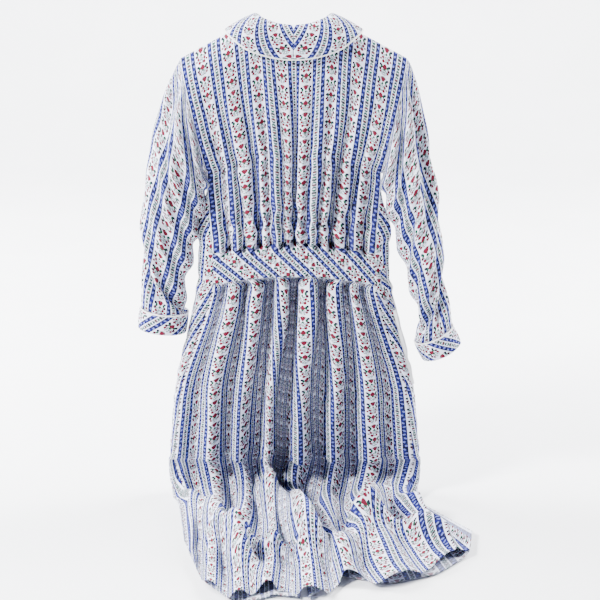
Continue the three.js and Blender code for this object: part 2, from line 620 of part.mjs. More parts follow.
// The pull hangs from the bridge by the eye at its top.
const pull = new THREE.Shape();
const PULL_HALF = PULL_WIDTH / 2;
const EYE_HALF = 1.6;
const EYE_TOP = 0.65;
const EYE_FOOT = 5;
pull.moveTo(-EYE_HALF - 1.4, EYE_TOP);
pull.lineTo(-PULL_HALF, -EYE_FOOT - 1.5);
pull.lineTo(-PULL_HALF, -PULL_LENGTH + PULL_HALF);
pull.absarc(0, -PULL_LENGTH + PULL_HALF, PULL_HALF, Math.PI, 2 * Math.PI, false);
pull.lineTo(PULL_HALF, -EYE_FOOT - 1.5);
pull.lineTo(EYE_HALF + 1.4, EYE_TOP);
pull.closePath();
const eye = new THREE.Path();
eye.moveTo(-EYE_HALF, -EYE_TOP);
eye.lineTo(EYE_HALF, -EYE_TOP);
eye.lineTo(EYE_HALF, -EYE_FOOT);
eye.lineTo(-EYE_HALF, -EYE_FOOT);
eye.closePath();
pull.holes.push(eye);
const pullGeometry = new THREE.ExtrudeGeometry(pull, { depth: PULL_THICKNESS, bevelEnabled: false, curveSegments: 8 });
pullGeometry.rotateX(Math.PI / 2).translate(0, PULL_Y + PULL_THICKNESS / 2, -SLIDER_DROP);
add("zip_pull", pullGeometry, NICKEL, 0.3, 1);

// ---- Hanging loop: a flat tape inside the back neck ----

const loopBack = neckDepth(LOOP_HALF + LOOP_WIDTH / 2, BACK_NECK_DEPTH);
const LOOP_Y = loopBack - STAND_IN - LAYER_STEP - TRIM / 2 - SEAM - TAPE_THICKNESS / 2;
const loopPoint = (angle, v) => {
  const wide = LOOP_HALF + LOOP_WIDTH * (v - 0.5);
  const deep = LOOP_DROP + LOOP_WIDTH * (v - 0.5);
  return new THREE.Vector3(-wide * Math.cos(angle), -LOOP_Y, -BACK_NECK_DROP - deep * Math.sin(angle));
};
const loopHalf = TAPE_THICKNESS / 2;
add("hanging_loop", shell(loopPoint, spread(0, Math.PI, 16), [0, 1], -loopHalf, loopHalf), WHITE);

export default gown;
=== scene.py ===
"""A long cotton gown hanging with its skirt on the floor, rebuilt in cloth over its frame."""
import math
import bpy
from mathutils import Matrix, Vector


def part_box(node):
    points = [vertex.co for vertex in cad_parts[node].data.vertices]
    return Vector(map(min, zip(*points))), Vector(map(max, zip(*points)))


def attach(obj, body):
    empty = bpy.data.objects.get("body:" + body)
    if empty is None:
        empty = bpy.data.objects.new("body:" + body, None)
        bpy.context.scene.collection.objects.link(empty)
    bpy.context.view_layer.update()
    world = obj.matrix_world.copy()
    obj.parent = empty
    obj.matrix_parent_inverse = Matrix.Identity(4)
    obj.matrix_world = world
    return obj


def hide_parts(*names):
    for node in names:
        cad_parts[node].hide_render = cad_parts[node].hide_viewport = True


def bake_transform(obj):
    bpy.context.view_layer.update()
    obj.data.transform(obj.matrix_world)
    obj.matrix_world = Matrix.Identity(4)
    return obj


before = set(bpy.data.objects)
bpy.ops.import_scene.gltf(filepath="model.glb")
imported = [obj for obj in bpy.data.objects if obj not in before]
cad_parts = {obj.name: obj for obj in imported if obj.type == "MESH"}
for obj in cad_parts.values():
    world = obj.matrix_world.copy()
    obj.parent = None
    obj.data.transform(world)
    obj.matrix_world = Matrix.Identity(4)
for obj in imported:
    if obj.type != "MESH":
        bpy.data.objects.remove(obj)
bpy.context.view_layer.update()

import bpy
import numpy as np
from mathutils import Vector

MM = 0.001

# ---- Camera ----

CAMERA_AT = (0.012, -2.2, 0.145)
CAMERA_PITCH = 18.0
cam = bpy.data.objects.new("camera", bpy.data.cameras.new("camera"))
bpy.context.scene.collection.objects.link(cam)
cam.data.sensor_width = 36.0
cam.data.lens = 66.7
cam.location = CAMERA_AT
cam.rotation_euler = (math.radians(90 - CAMERA_PITCH), 0, 0)
bpy.context.scene.camera = cam

# ---- The gown's lines, in millimetres. A drop is a distance below the origin. ----

SHOULDER_HALF, SHOULDER_DROP, SHOULDER_ROUND = 220.0, 76.0, 45.0
NECK_HALF, BACK_NECK_DROP, BACK_NECK_DEPTH, FRONT_NECK_DROP = 75.0, 20.0, 30.0, 105.0
ARMHOLE_DEPTH, UNDERARM_HALF, UNDERARM_DROP = 40.0, 174.0, 300.0
BACK_DEPTH, FRONT_DEPTH, FRONT_GAP = 45.0, 45.0, 6.0
WAIST_DROP, WAIST_HALF, WAIST_SAG, BAND_HEIGHT = 440.0, 165.0, 22.0, 66.0
SEAM_DEPTH, FRONT_FULLNESS, SKIRT_HALF = 28.0, 58.08, 226.0
FLOOR_DROP, GOWN_LENGTH, BEND_RADIUS = 1015.0, 1450.0, 100.0
POOL_STACK = 0.24  # how much the layers flatten on the floor
BAND_END = WAIST_DROP + WAIST_SAG
BAND_FOOT = BAND_END + BAND_HEIGHT
REPEAT = 51.5  # the print repeats this often, both ways
BIAS = 0.707  # each way's share in a piece cut on the bias


def lerp(a, b, t):
    return a + (b - a) * t


def ease(t):
    c = np.clip(t, 0, 1)
    return c * c * (3 - 2 * c)


def bezier(p, t):
    s = 1 - t
    return s * s * s * p[0] + 3 * s * s * t * p[1] + 3 * s * t * t * p[2] + t * t * t * p[3]


def wobble(x, y, seed, scale):
    """Smooth noise from -1 to 1, the same every time."""
    rng = np.random.default_rng(seed)
    out = np.zeros(np.broadcast(x, y).shape)
    for _ in range(7):
        kx, ky = rng.normal(0, 1, 2) / scale
        out = out + np.sin(kx * x + ky * y + rng.uniform(0, 2 * math.pi))
    return out / 4.0


def shoulder_drop(x):
    return SHOULDER_DROP * (x - NECK_HALF) / (SHOULDER_HALF - NECK_HALF)


def top_drop(x, neck, power):
    ax = np.abs(x)
    inside = neck * (1 - np.clip(ax / NECK_HALF, 0, 1) ** power)
    return np.where(ax >= NECK_HALF, shoulder_drop(ax), inside)


def back_top(x):
    return top_drop(x, BACK_NECK_DROP, 2)


def front_top(x):
    return top_drop(x, FRONT_NECK_DROP, 1.25)


def side_half(drop):
    """Half the gown's width: along the armhole, down to the waist, then out to the floor."""
    armhole = lerp(SHOULDER_HALF, UNDERARM_HALF, (drop - SHOULDER_DROP) / (UNDERARM_DROP - SHOULDER_DROP))
    waist = lerp(UNDERARM_HALF, WAIST_HALF, ease((drop - UNDERARM_DROP) / (BAND_END - UNDERARM_DROP)))
    run = np.clip((drop - BAND_FOOT) / (FLOOR_DROP - BAND_FOOT), 0, 1)
    skirt = lerp(WAIST_HALF, SKIRT_HALF, run**0.8)
    return np.where(drop < UNDERARM_DROP, armhole, np.where(drop < BAND_FOOT, waist, skirt))


def armhole_depth(drop):
    """Half the armhole's opening from front to back, an oval down its height."""
    middle = (SHOULDER_DROP + UNDERARM_DROP) / 2
    along = (drop - middle) / (UNDERARM_DROP - middle)
    return ARMHOLE_DEPTH * np.sqrt(np.clip(1 - along * along, 0, 1))


def seam_depth(drop):
    return SEAM_DEPTH * ease((drop - UNDERARM_DROP) / (BAND_END - UNDERARM_DROP))


def over_shoulder(drop, top):
    """How far the cloth has come out from the shoulder's ridge, and how much it still faces up."""
    left = 1 - np.clip((drop - top) / SHOULDER_ROUND, 0, 1)
    return np.sqrt(1 - left * left), left


def neck_depth(x, depth):
    """The neckline's depth from front to back, a half oval."""
    return depth * np.sqrt(np.clip(1 - (x / NECK_HALF) ** 2, 0, 1))


# The hem's outline on the floor, seen from above, from the gown's left side to its right.
HEM_SHARE = [-1.0, -0.75, -0.5, -0.2, 0.08, 0.27, 0.5, 0.75, 0.92, 1.0]
HEM_X = [-226.0, -172.0, -112.0, -36.0, 44.0, 92.0, 180.0, 272.0, 345.0, 368.0]
HEM_Y = [-215.0, -365.0, -435.0, -415.0, -432.0, -345.0, -372.0, -340.0, -270.0, -165.0]


def lay_down(x, y, drop):
    """Bends the skirt forwards on to the floor, the front panels lowest and the back panel uppermost."""
    start = FLOOR_DROP - 2 - BEND_RADIUS
    bend_end = start + BEND_RADIUS * math.pi / 2
    turned = np.clip((drop - start) / (BEND_RADIUS * math.pi / 2), 0, 1)
    angle = turned * math.pi / 2
    past = np.maximum(0, drop - bend_end)
    across = np.clip(x / 258.0, -1, 1)
    share = past / (GOWN_LENGTH - bend_end)
    layer = (FRONT_DEPTH - y) * lerp(1, POOL_STACK, ease(turned))
    near_y = FRONT_DEPTH - BEND_RADIUS * (1 - np.cos(angle))
    hem_y = np.interp(across, HEM_SHARE, HEM_Y)
    hem_x = np.interp(across, HEM_SHARE, HEM_X)
    far_y = lerp(near_y, hem_y, share)
    far_z = np.where(drop < start, -drop, -start - BEND_RADIUS * np.sin(angle))
    return np.stack(
        [lerp(x, hem_x, share), far_y - layer * np.cos(angle), far_z + layer * np.sin(angle)],
        axis=-1,
    )


# ---- Rows and columns shared by the panels ----

top_rows = SHOULDER_DROP + np.array([0, 3, 8, 14, 22, 31, 41, 52.0])
arm_rows = np.linspace(SHOULDER_DROP + 52, UNDERARM_DROP, 16)[1:]
side_rows = np.linspace(UNDERARM_DROP, BAND_END, 18)[1:]
band_rows = np.linspace(BAND_END, BAND_FOOT, 7)[1:]
skirt_rows = np.linspace(BAND_FOOT, GOWN_LENGTH, 88)[1:]
LEVELS = np.concatenate([top_rows, arm_rows, side_rows, band_rows, skirt_rows])
ARM_END = len(top_rows) + len(arm_rows) - 1
BAND_START = ARM_END + len(side_rows)
BAND_STOP = BAND_START + len(band_rows)
LAST = len(LEVELS) - 1

COLUMNS = 131
SHARES = np.linspace(-1, 1, COLUMNS)
BACK_CLOTH = 440.0  # the back bodice's flat width
SKIRT_CLOTH = 860.0  # the back skirt's flat width

# Where folds run, as shares of the half width: in the bodice above the band, in the skirt below it and
# at the floor, with how much cloth each one takes.
GATHERS = [
    (-0.8, 1.4), (-0.6, 0.8), (-0.42, 1.1), (-0.28, 0.7), (-0.12, 0.8), (0.0, 1.5),
    (0.15, 0.7), (0.31, 0.8), (0.46, 1.5), (0.65, 0.8), (0.85, 1.2),
]
FOLDS_HIGH = [(-0.86, 0.9), (-0.58, 0.9), (-0.29, 1.7), (0.0, 2.0), (0.35, 1.7), (0.62, 0.9), (0.83, 0.9)]
FOLDS_LOW = [(-0.88, 0.8), (-0.62, 0.9), (-0.38, 1.2), (-0.13, 2.2), (0.2, 1.7), (0.47, 1.0), (0.8, 0.8)]
GATHER_TOP, GATHER_WIDTH, GATHER_TAKE, GATHER_DEPTH = 110.0, 0.045, 2.6, 29.0
# Each fold in the skirt, at the band and further down: its width, the cloth it takes and its depth.
FOLD_WIDTHS, FOLD_TAKES, FOLD_DEPTHS = (0.05, 0.075), (5.5, 3.6), (42.0, 60.0)
POOL_TAKE, POOL_START = 0.9, 980.0

# Large folds on the floor: where each starts and ends, its width and its height.
HEAPS = [
    (-60, -60, 70, -330, 26, 62), (-200, -110, -60, -400, 22, 46), (190, -60, 90, -350, 22, 44),
    (120, -200, 330, -250, 20, 34), (-150, -250, 20, -300, 18, 30), (240, -120, 360, -230, 18, 26),
]


def fold_row(shares, folds, width, take):
    """Gathers a row of cloth: where each share of the cloth comes to lie, and how deep in a fold, 0 to 1."""
    x = np.linspace(-1, 1, 1201)
    heap = sum(deep * np.exp(-(((x - at) / width) ** 2)) for at, deep in folds)
    density = 1 + take * heap
    cloth = np.concatenate([[0], np.cumsum((density[1:] + density[:-1]) / 2)])
    cloth = cloth / cloth[-1] * 2 - 1
    laid = np.interp(shares, cloth, x)
    return laid, np.interp(laid, x, np.minimum(heap, 1.6))


def back_surface():
    level, a = np.meshgrid(LEVELS, SHARES, indexing="ij")
    band_top = WAIST_DROP + WAIST_SAG * a * a
    top = back_top(a * SHOULDER_HALF)
    drop = np.empty_like(level)
    bodice = level <= BAND_END
    band = (level > BAND_END) & (level <= BAND_FOOT)
    share = (level - SHOULDER_DROP) / (BAND_END - SHOULDER_DROP)
    drop[bodice] = lerp(top, band_top, share)[bodice]
    drop[band] = (band_top + level - BAND_END)[band]
    share = (level - BAND_FOOT) / (GOWN_LENGTH - BAND_FOOT)
    skirt = level > BAND_FOOT
    drop[skirt] = lerp(band_top + BAND_HEIGHT, GOWN_LENGTH, share)[skirt]
    out, up = over_shoulder(drop, top)
    out = lerp(out, 1, np.abs(a) ** 24)
    edge = neck_depth(np.minimum(np.abs(a) * SHOULDER_HALF, NECK_HALF), BACK_NECK_DEPTH)
    side = np.where(level < UNDERARM_DROP, armhole_depth(level), seam_depth(level))
    deep = lerp(BACK_DEPTH, side, np.abs(a) ** 2.5)
    y = -lerp(edge, deep, out)
    x = a * side_half(level)
    inner = 1 - np.abs(a) ** 10
    below = np.clip(drop - band_top - BAND_HEIGHT, 0, None)
    laid, sunk = a.copy(), np.zeros_like(a)
    for i, row in enumerate(LEVELS):
        if GATHER_TOP < row <= BAND_END:
            pull = ease((row - GATHER_TOP) / (BAND_END - GATHER_TOP)) ** 0.9
            wander = 0.02 * wobble(row / 160, 0.0, 3, 1.0)
            folds = []
            for c, d in GATHERS:
                inset = 1 if abs(c) < 0.7 else lerp(0.86, 1, pull)
                folds.append((c * lerp(1.25, 1, pull) * inset + wander, d))
            laid[i], sunk[i] = fold_row(SHARES, folds, GATHER_WIDTH, GATHER_TAKE * pull)
            sunk[i] *= pull * GATHER_DEPTH
        elif row > BAND_FOOT:
            down = ease((row - BAND_FOOT) / 330)
            folds = [(lerp(c, e, down), lerp(d, f, down)) for (c, d), (e, f) in zip(FOLDS_HIGH, FOLDS_LOW)]
            take = lerp(lerp(*FOLD_TAKES, down), POOL_TAKE, ease((row - POOL_START) / 330))
            laid[i], sunk[i] = fold_row(SHARES, folds, lerp(*FOLD_WIDTHS, down), take)
            sunk[i] *= lerp(*FOLD_DEPTHS, ease((row - BAND_FOOT) / 260)) * ease((row - BAND_FOOT) / 14 + 0.15)
    x = laid * side_half(level)
    y += inner * sunk
    y -= skirt * inner * ease(below / 60) * 27
    # Fine gathers under the band, and a slow drift of the folds.
    fine = np.exp(-below / 110) * ease(below / 14)
    y += skirt * inner * fine * 4.0 * np.sin(2 * math.pi * a * 13 + 1.6 * wobble(a * 5, below / 400, 7, 1.0))
    y += skirt * inner * ease(below / 60) * 6 * wobble(a * 9, below / 160, 11, 1.0)
    x += skirt * inner * ease(below / 60) * 6 * wobble(a * 7, below / 190, 13, 1.0)
    # The skirt hangs a little wider than its seams where it nears the floor.
    swell = ease(below / 260) * (1 - ease((drop - 940) / 200))
    x += skirt * swell * np.abs(a) ** 2 * np.where(a < 0, -42.0, 40.0)
    # The bodice blouses a little over the band.
    y -= bodice * inner * 7 * np.exp(-(((drop - band_top + 26) / 22) ** 2)) * (drop > 200)
    pucker = np.exp(-(((drop - band_top) / 24) ** 2)) * bodice + 0.5 * band
    y += pucker * inner * 2.6 * np.sin(2 * math.pi * a * 17 + 2.2 * wobble(a * 12, drop / 60, 6, 1.0))
    y = np.minimum(y, -6)
    points = lay_down(x, y, drop)
    lying = ease((drop - 900) / 150)
    rumple = wobble(a * 9 + drop / 500, drop / 200, 17, 1.0) + 0.6 * wobble(a * 20, drop / 90, 18, 1.0)
    ridge = (1 - sunk / 60) * 26 + 8 * rumple
    points[..., 2] += lying * np.clip(ridge, 0, 44) * lerp(1, 0.3, ease((drop - 1300) / 120))
    points[..., 0] += lying * 16 * wobble(a * 7, drop / 110, 19, 1.0)
    points[..., 1] += lying * lerp(8, 30, ease((drop - 1150) / 300)) * wobble(a * 5, drop / 120, 20, 1.0)
    # Large folds thrown up where the cloth ran out of room, each between two places on the floor.
    for x0, y0, x1, y1, wide, high in HEAPS:
        dx, dy = x1 - x0, y1 - y0
        run = ((points[..., 0] - x0) * dx + (points[..., 1] - y0) * dy) / (dx * dx + dy * dy)
        away = ((points[..., 0] - x0) * dy - (points[..., 1] - y0) * dx) / math.hypot(dx, dy)
        rise = np.exp(-((away / wide) ** 2)) * ease((run + 0.25) / 0.35) * (1 - ease((run - 0.75) / 0.35))
        points[..., 2] += lying * high * rise
        points[..., 0] -= lying * 0.5 * away * rise
    cloth = np.where(skirt, SKIRT_CLOTH, BACK_CLOTH)
    cut = np.stack([a * cloth / 2 + REPEAT / 2, drop - top], axis=-1)
    # The waistband is cut on the bias.
    bias_u, bias_v = (x - drop + band_top) * BIAS, (x + drop - band_top) * BIAS
    cut[band] = np.stack([bias_u, bias_v], axis=-1)[band]
    return points, cut


def front_x(t, level):
    """Where a front lies across, from the zip at t = 0 to the side seam at 1."""
    half = side_half(level)
    full = FRONT_FULLNESS * ease((level - UNDERARM_DROP) / (WAIST_DROP - UNDERARM_DROP))
    armhole = 28 * (1 - ease((level - UNDERARM_DROP * 0.8) / (UNDERARM_DROP * 0.3)))
    chest = lerp(FRONT_GAP, half, 0.55) + full * 0.9
    return bezier([FRONT_GAP, chest, half + full * 1.5 - armhole, half], t)


FRONT_COLUMNS = 41


def front_surface(side, seed):
    level, t = np.meshgrid(LEVELS, np.linspace(0, 1, FRONT_COLUMNS), indexing="ij")
    hanging = level >= UNDERARM_DROP
    seam_y = np.where(hanging, -seam_depth(level), armhole_depth(level))
    x = front_x(t, level)
    y = bezier([FRONT_DEPTH, FRONT_DEPTH, lerp(seam_y, FRONT_DEPTH, 0.35), seam_y], t)
    top_x = front_x(t, SHOULDER_DROP)
    top = front_top(top_x)
    drop = lerp(top, GOWN_LENGTH, (level - SHOULDER_DROP) / (GOWN_LENGTH - SHOULDER_DROP))
    out, up = over_shoulder(drop, top)
    out = lerp(out, 1, t**24)
    y = lerp(neck_depth(np.minimum(top_x, NECK_HALF), FRONT_DEPTH), y, out)
    # Soft folds that hang from the chest and open towards the hem.
    free = ease((level - 260) / 500) * np.sin(math.pi * t) ** 0.7
    y -= free * (14 * np.sin(2 * math.pi * 3.2 * t + 1.3 * wobble(t * 4, level / 300, seed, 1.0)) + 5)
    x += free * 5 * wobble(t * 8, level / 240, seed + 1, 1.0)
    swell = ease((drop - BAND_FOOT) / 260) * (1 - ease((drop - 940) / 200))
    x += swell * t**2 * 41
    steps = np.hypot(np.diff(x, axis=1), np.diff(y, axis=1))
    across = np.concatenate([np.zeros((len(LEVELS), 1)), np.cumsum(steps, axis=1)], axis=1)
    points = lay_down(side * x, y, drop)
    return points, np.stack([side * (across + 13), drop], axis=-1)


SLEEVE_DEPTH, CUFF_DEPTH, CUFF_HEIGHT = 54.0, 42.0, 44.0
SLEEVE_ENDS = {"left": ((318.0, 582.0), (222.0, 594.0)), "right": ((330.0, 622.0), (254.0, 660.0))}
SLEEVE_ROWS = 52


def sleeve_line(name, t):
    """The outer and inner lines of a hanging sleeve: half widths and drops at t from armhole to cuff."""
    outer, inner = SLEEVE_ENDS[name]
    top_x = bezier([SHOULDER_HALF, SHOULDER_HALF + 50, lerp(SHOULDER_HALF, outer[0], 0.82), outer[0]], t)
    top = bezier([SHOULDER_DROP, SHOULDER_DROP + 50, lerp(SHOULDER_DROP, outer[1], 0.5), outer[1]], t)
    under_x = bezier([UNDERARM_HALF, UNDERARM_HALF + 14, lerp(UNDERARM_HALF, inner[0], 0.7), inner[0]], t)
    under = bezier([UNDERARM_DROP, UNDERARM_DROP + 14, lerp(UNDERARM_DROP, inner[1], 0.5), inner[1]], t)
    return top_x, top, under_x, under


def sleeve_point(name, side, angle, t):
    top_x, top, under_x, under = sleeve_line(name, t)
    depth = bezier([ARMHOLE_DEPTH, SLEEVE_DEPTH, SLEEVE_DEPTH, CUFF_DEPTH], t)
    along = (1 + np.cos(angle)) / 2
    return np.stack([side * lerp(under_x, top_x, along), depth * np.sin(angle), -lerp(under, top, along)], axis=-1)


# The ring of a sleeve follows the armhole's rows down its front and back up behind.
arm_share = (LEVELS[: ARM_END + 1] - SHOULDER_DROP) / (UNDERARM_DROP - SHOULDER_DROP)
down = np.arccos(1 - 2 * arm_share)
RING = np.concatenate([down, 2 * math.pi - down[1:-1][::-1]])


def sleeve_surface(name, side, seed):
    t, angle = np.meshgrid(np.linspace(0, 1, SLEEVE_ROWS), RING, indexing="ij")
    points = sleeve_point(name, side, angle, t)
    # The cloth sinks in folds from the underarm across to the elbow, deeper on the inner side.
    loose = ease(t / 0.12) * ease((1 - t) / 0.10)
    along = (1 + np.cos(angle)) / 2
    slant = t * 9 + along * 3.2
    crease = np.sin(2 * math.pi * 0.62 * slant + 1.5 * wobble(t * 5, np.sin(angle) * 2, seed, 1.0))
    sink = loose * (8 * crease * lerp(1.0, 0.12, along**2) + 2.2 * wobble(t * 9, angle * 1.5, seed + 1, 1.0))
    sink = sink + loose * 5 * np.abs(np.sin(angle)) * wobble(np.cos(angle) * 5, t * 2, seed + 2, 1.0)
    centre = points.mean(axis=1, keepdims=True)
    out = points - centre
    out[..., 2] *= 0.3
    out /= np.linalg.norm(out, axis=-1, keepdims=True) + 1e-6
    points = points + out * sink[..., None]
    # Cloth coordinates: round the sleeve from its underarm seam, sheared so that the stripes hang as cut.
    turn = (angle - math.pi) % (2 * math.pi)
    widths = lerp(330, 250, t)
    length = t * 540
    shear = lerp(-0.55, 0.0, ease((length - 20) / 260))
    shift = np.cumsum(np.full_like(t, 540.0 / (SLEEVE_ROWS - 1)) * shear, axis=0)
    u = turn / (2 * math.pi) * widths
    return points, np.stack([u - shift, length], axis=-1), turn


# ---- One sewn cloth, simulated, then parted into its panels ----

class Sewn:
    """Grids of cloth that share their seam vertices."""

    def __init__(self):
        self.points = []
        self.faces = []
        self.cuts = []
        self.panel = []
        self.pins = {}

    def grid(self, points, cut, panels, shared=None, ring=False):
        """Adds a grid of rows by columns. shared maps (row, column) to a vertex that is there already.
        panels gives the panel's name for each row of faces."""
        rows, columns = points.shape[:2]
        index = np.empty((rows, columns), int)
        for i in range(rows):
            for j in range(columns):
                if shared and (i, j) in shared:
                    index[i, j] = shared[(i, j)]
                else:
                    index[i, j] = len(self.points)
                    self.points.append(points[i, j])
        for i in range(rows - 1):
            for j in range(columns if ring else columns - 1):
                k = (j + 1) % columns
                self.faces.append((index[i, j], index[i, k], index[i + 1, k], index[i + 1, j]))
                edge = cut[:, k] if k else cut[:, j] * 2 - cut[:, j - 1]
                here = cut
                if (panels(i), i) in (("back_waistband", BAND_START), ("back_skirt", BAND_STOP)):
                    here = cut.copy()
                    here[i] = cut[i + 1] + (cut[i + 1] - cut[i + 2])
                    edge = here[:, k]
                self.cuts.append((here[i, j], edge[i], edge[i + 1], here[i + 1, j]))
                self.panel.append(panels(i))
        return index

    def pin(self, vertices, weight):
        for v in np.ravel(vertices):
            self.pins[int(v)] = max(weight, self.pins.get(int(v), 0))


def back_panel(i):
    return "back_bodice" if i < BAND_START else "back_waistband" if i < BAND_STOP else "back_skirt"


SHOULDER_ROWS = 9  # these rest on the hanger and don't move
sewn = Sewn()
points, cut = back_surface()
back = sewn.grid(points, cut, back_panel)
fronts = {}
sleeves = {}
SIDES = {"left": -1, "right": 1}
for name, side in SIDES.items():
    points, cut = front_surface(side, 21 if name == "left" else 31)
    column = 0 if name == "left" else COLUMNS - 1
    shared = {(i, FRONT_COLUMNS - 1): back[i, column] for i in range(ARM_END, LAST + 1)}
    shared[(0, FRONT_COLUMNS - 1)] = back[0, column]
    front = sewn.grid(points, cut, lambda i, n="front_" + name: n, shared)
    fronts[name] = front
    points, cut, turn = sleeve_surface(name, side, 41 if name == "left" else 51)
    ring = [*front[: ARM_END + 1, -1], *back[1:ARM_END, column][::-1]]
    # The grid starts at the underarm seam.
    order = [*range(ARM_END, len(RING)), *range(ARM_END)]
    points, cut = points[:, order], cut[:, order]
    shared = {(0, j): ring[k] for j, k in enumerate(order)}
    sleeves[name] = sewn.grid(points, cut, lambda i, n="sleeve_" + name: n, shared, ring=True)
    sewn.pin(sleeves[name][0], 1.0)
    sewn.pin(sleeves[name][-1], 1.0)
    sewn.pin(front[:SHOULDER_ROWS], 1.0)
    sewn.pin(front[:, 0], 0.6)
    sewn.pin(front[: int(np.searchsorted(LEVELS, 900)), 0], 1.0)
    sewn.pin(front[SHOULDER_ROWS:], 0.22)
    sewn.pin(front[BAND_START:BAND_STOP, -1], 1.0)
sewn.pin(back[:SHOULDER_ROWS], 1.0)
sewn.pin(back[SHOULDER_ROWS:], 0.2)
sewn.pin(back[BAND_START : BAND_STOP + 1], 1.0)


def mesh_object(name, points, faces, cuts=None):
    mesh = bpy.data.meshes.new(name)
    mesh.from_pydata([tuple(p) for p in points], [], [tuple(int(i) for i in f) for f in faces])
    if cuts is not None:
        layer = mesh.uv_layers.new(name="cut")
        layer.data.foreach_set("uv", (np.asarray(cuts).reshape(-1, 2) * MM).ravel())
    mesh.polygons.foreach_set("use_smooth", [True] * len(mesh.polygons))
    mesh.update()
    obj = bpy.data.objects.new(name, mesh)
    bpy.context.scene.collection.objects.link(obj)
    return obj


def simulate(obj, pins, frames):
    """Lets the cloth settle under its weight on the floor, and returns its points in millimetres."""
    group = obj.vertex_groups.new(name="pin")
    for vertex, weight in pins.items():
        group.add([vertex], weight, "REPLACE")
    floor = mesh_object("sim_floor", [(-2, -2, 0), (2, -2, 0), (2, 2, 0), (-2, 2, 0)], [(0, 1, 2, 3)])
    floor.location.z = -FLOOR_DROP * MM
    floor.modifiers.new("collision", "COLLISION")
    floor.collision.thickness_outer = 0.002
    floor.collision.cloth_friction = 12
    cloth = obj.modifiers.new("cloth", "CLOTH")
    s = cloth.settings
    s.quality = 7
    s.mass = 0.15
    s.tension_stiffness = 25
    s.compression_stiffness = 25
    s.shear_stiffness = 10
    s.bending_stiffness = 0.35
    s.tension_damping = 8
    s.compression_damping = 8
    s.shear_damping = 8
    s.bending_damping = 1
    s.air_damping = 2
    s.shrink_min = -0.02
    s.vertex_group_mass = "pin"
    s.pin_stiffness = 2.0
    cloth.collision_settings.use_collision = True
    cloth.collision_settings.distance_min = 0.003
    cloth.collision_settings.collision_quality = 2
    cloth.collision_settings.use_self_collision = False
    cloth.point_cache.frame_start = 1
    cloth.point_cache.frame_end = frames
    scene = bpy.context.scene
    for f in range(1, frames + 1):
        scene.frame_set(f)
    depsgraph = bpy.context.evaluated_depsgraph_get()
    mesh = obj.evaluated_get(depsgraph).to_mesh()
    flat = np.empty(len(mesh.vertices) * 3)
    mesh.vertices.foreach_get("co", flat)
    obj.evaluated_get(depsgraph).to_mesh_clear()
    scene.frame_set(1)
    bpy.data.objects.remove(floor, do_unlink=True)
    return flat.reshape(-1, 3) / MM


SETTLE = 22
body = mesh_object("sim", np.array(sewn.points) * MM, sewn.faces)
settled = simulate(body, sewn.pins, SETTLE)
bpy.data.objects.remove(body, do_unlink=True)
settled[:, 2] = np.maximum(settled[:, 2], -FLOOR_DROP + 1.5)

# ---- Materials ----


class Graph:
    """Short names for shader nodes."""

    def __init__(self, name):
        self.material = bpy.data.materials.new(name)
        self.material.use_nodes = True
        self.tree = self.material.node_tree
        self.nodes = self.tree.nodes
        self.shader = self.nodes["Principled BSDF"]

    def put(self, socket, value):
        if isinstance(value, (int, float, tuple)):
            socket.default_value = value
        else:
            self.tree.links.new(value, socket)

    def math(self, operation, a, b=None, c=None):
        node = self.nodes.new("ShaderNodeMath")
        node.operation = operation
        for socket, value in zip(node.inputs, (a, b, c)):
            if value is not None:
                self.put(socket, value)
        return node.outputs[0]

    def add(self, a, b):
        return self.math("ADD", a, b)

    def sub(self, a, b):
        return self.math("SUBTRACT", a, b)

    def mul(self, a, b):
        return self.math("MULTIPLY", a, b)

    def less(self, a, b):
        return self.math("LESS_THAN", a, b)

    def both(self, a, b):
        return self.math("MULTIPLY", a, b)

    def either(self, a, b):
        return self.math("MAXIMUM", a, b)

    def abs(self, a):
        return self.math("ABSOLUTE", a)

    def wrap(self, a, period):
        """a folded into -period/2 to period/2."""
        return self.math("WRAP", a, period / 2, -period / 2)

    def mix(self, factor, a, b):
        node = self.nodes.new("ShaderNodeMix")
        node.data_type = "RGBA"
        self.put(node.inputs["Factor"], factor)
        self.put(node.inputs[6], a)
        self.put(node.inputs[7], b)
        return node.outputs[2]

    def noise(self, vector, scale, detail=2.0):
        node = self.nodes.new("ShaderNodeTexNoise")
        node.inputs["Scale"].default_value = scale
        node.inputs["Detail"].default_value = detail
        self.put(node.inputs["Vector"], vector)
        return node.outputs["Fac"]

    def bump(self, height, distance, strength=1.0, normal=None):
        node = self.nodes.new("ShaderNodeBump")
        node.inputs["Distance"].default_value = distance
        node.inputs["Strength"].default_value = strength
        self.put(node.inputs["Height"], height)
        if normal is not None:
            self.put(node.inputs["Normal"], normal)
        return node.outputs[0]


def rgb(r, g, b):
    """A display colour as linear light."""
    return tuple(((c / 255 + 0.055) / 1.055) ** 2.4 if c > 10 else c / 3294.6 for c in (r, g, b)) + (1.0,)


GROUND = rgb(220, 224, 242)
BLUE_DARK, BLUE_MID, BLUE_PALE = rgb(7, 7, 42), rgb(18, 19, 88), rgb(100, 110, 190)
RED, DARK_RED, NAVY = rgb(92, 0, 28), rgb(54, 1, 24), rgb(8, 10, 34)
GREEN, LEAF = rgb(6, 66, 44), rgb(52, 88, 84)


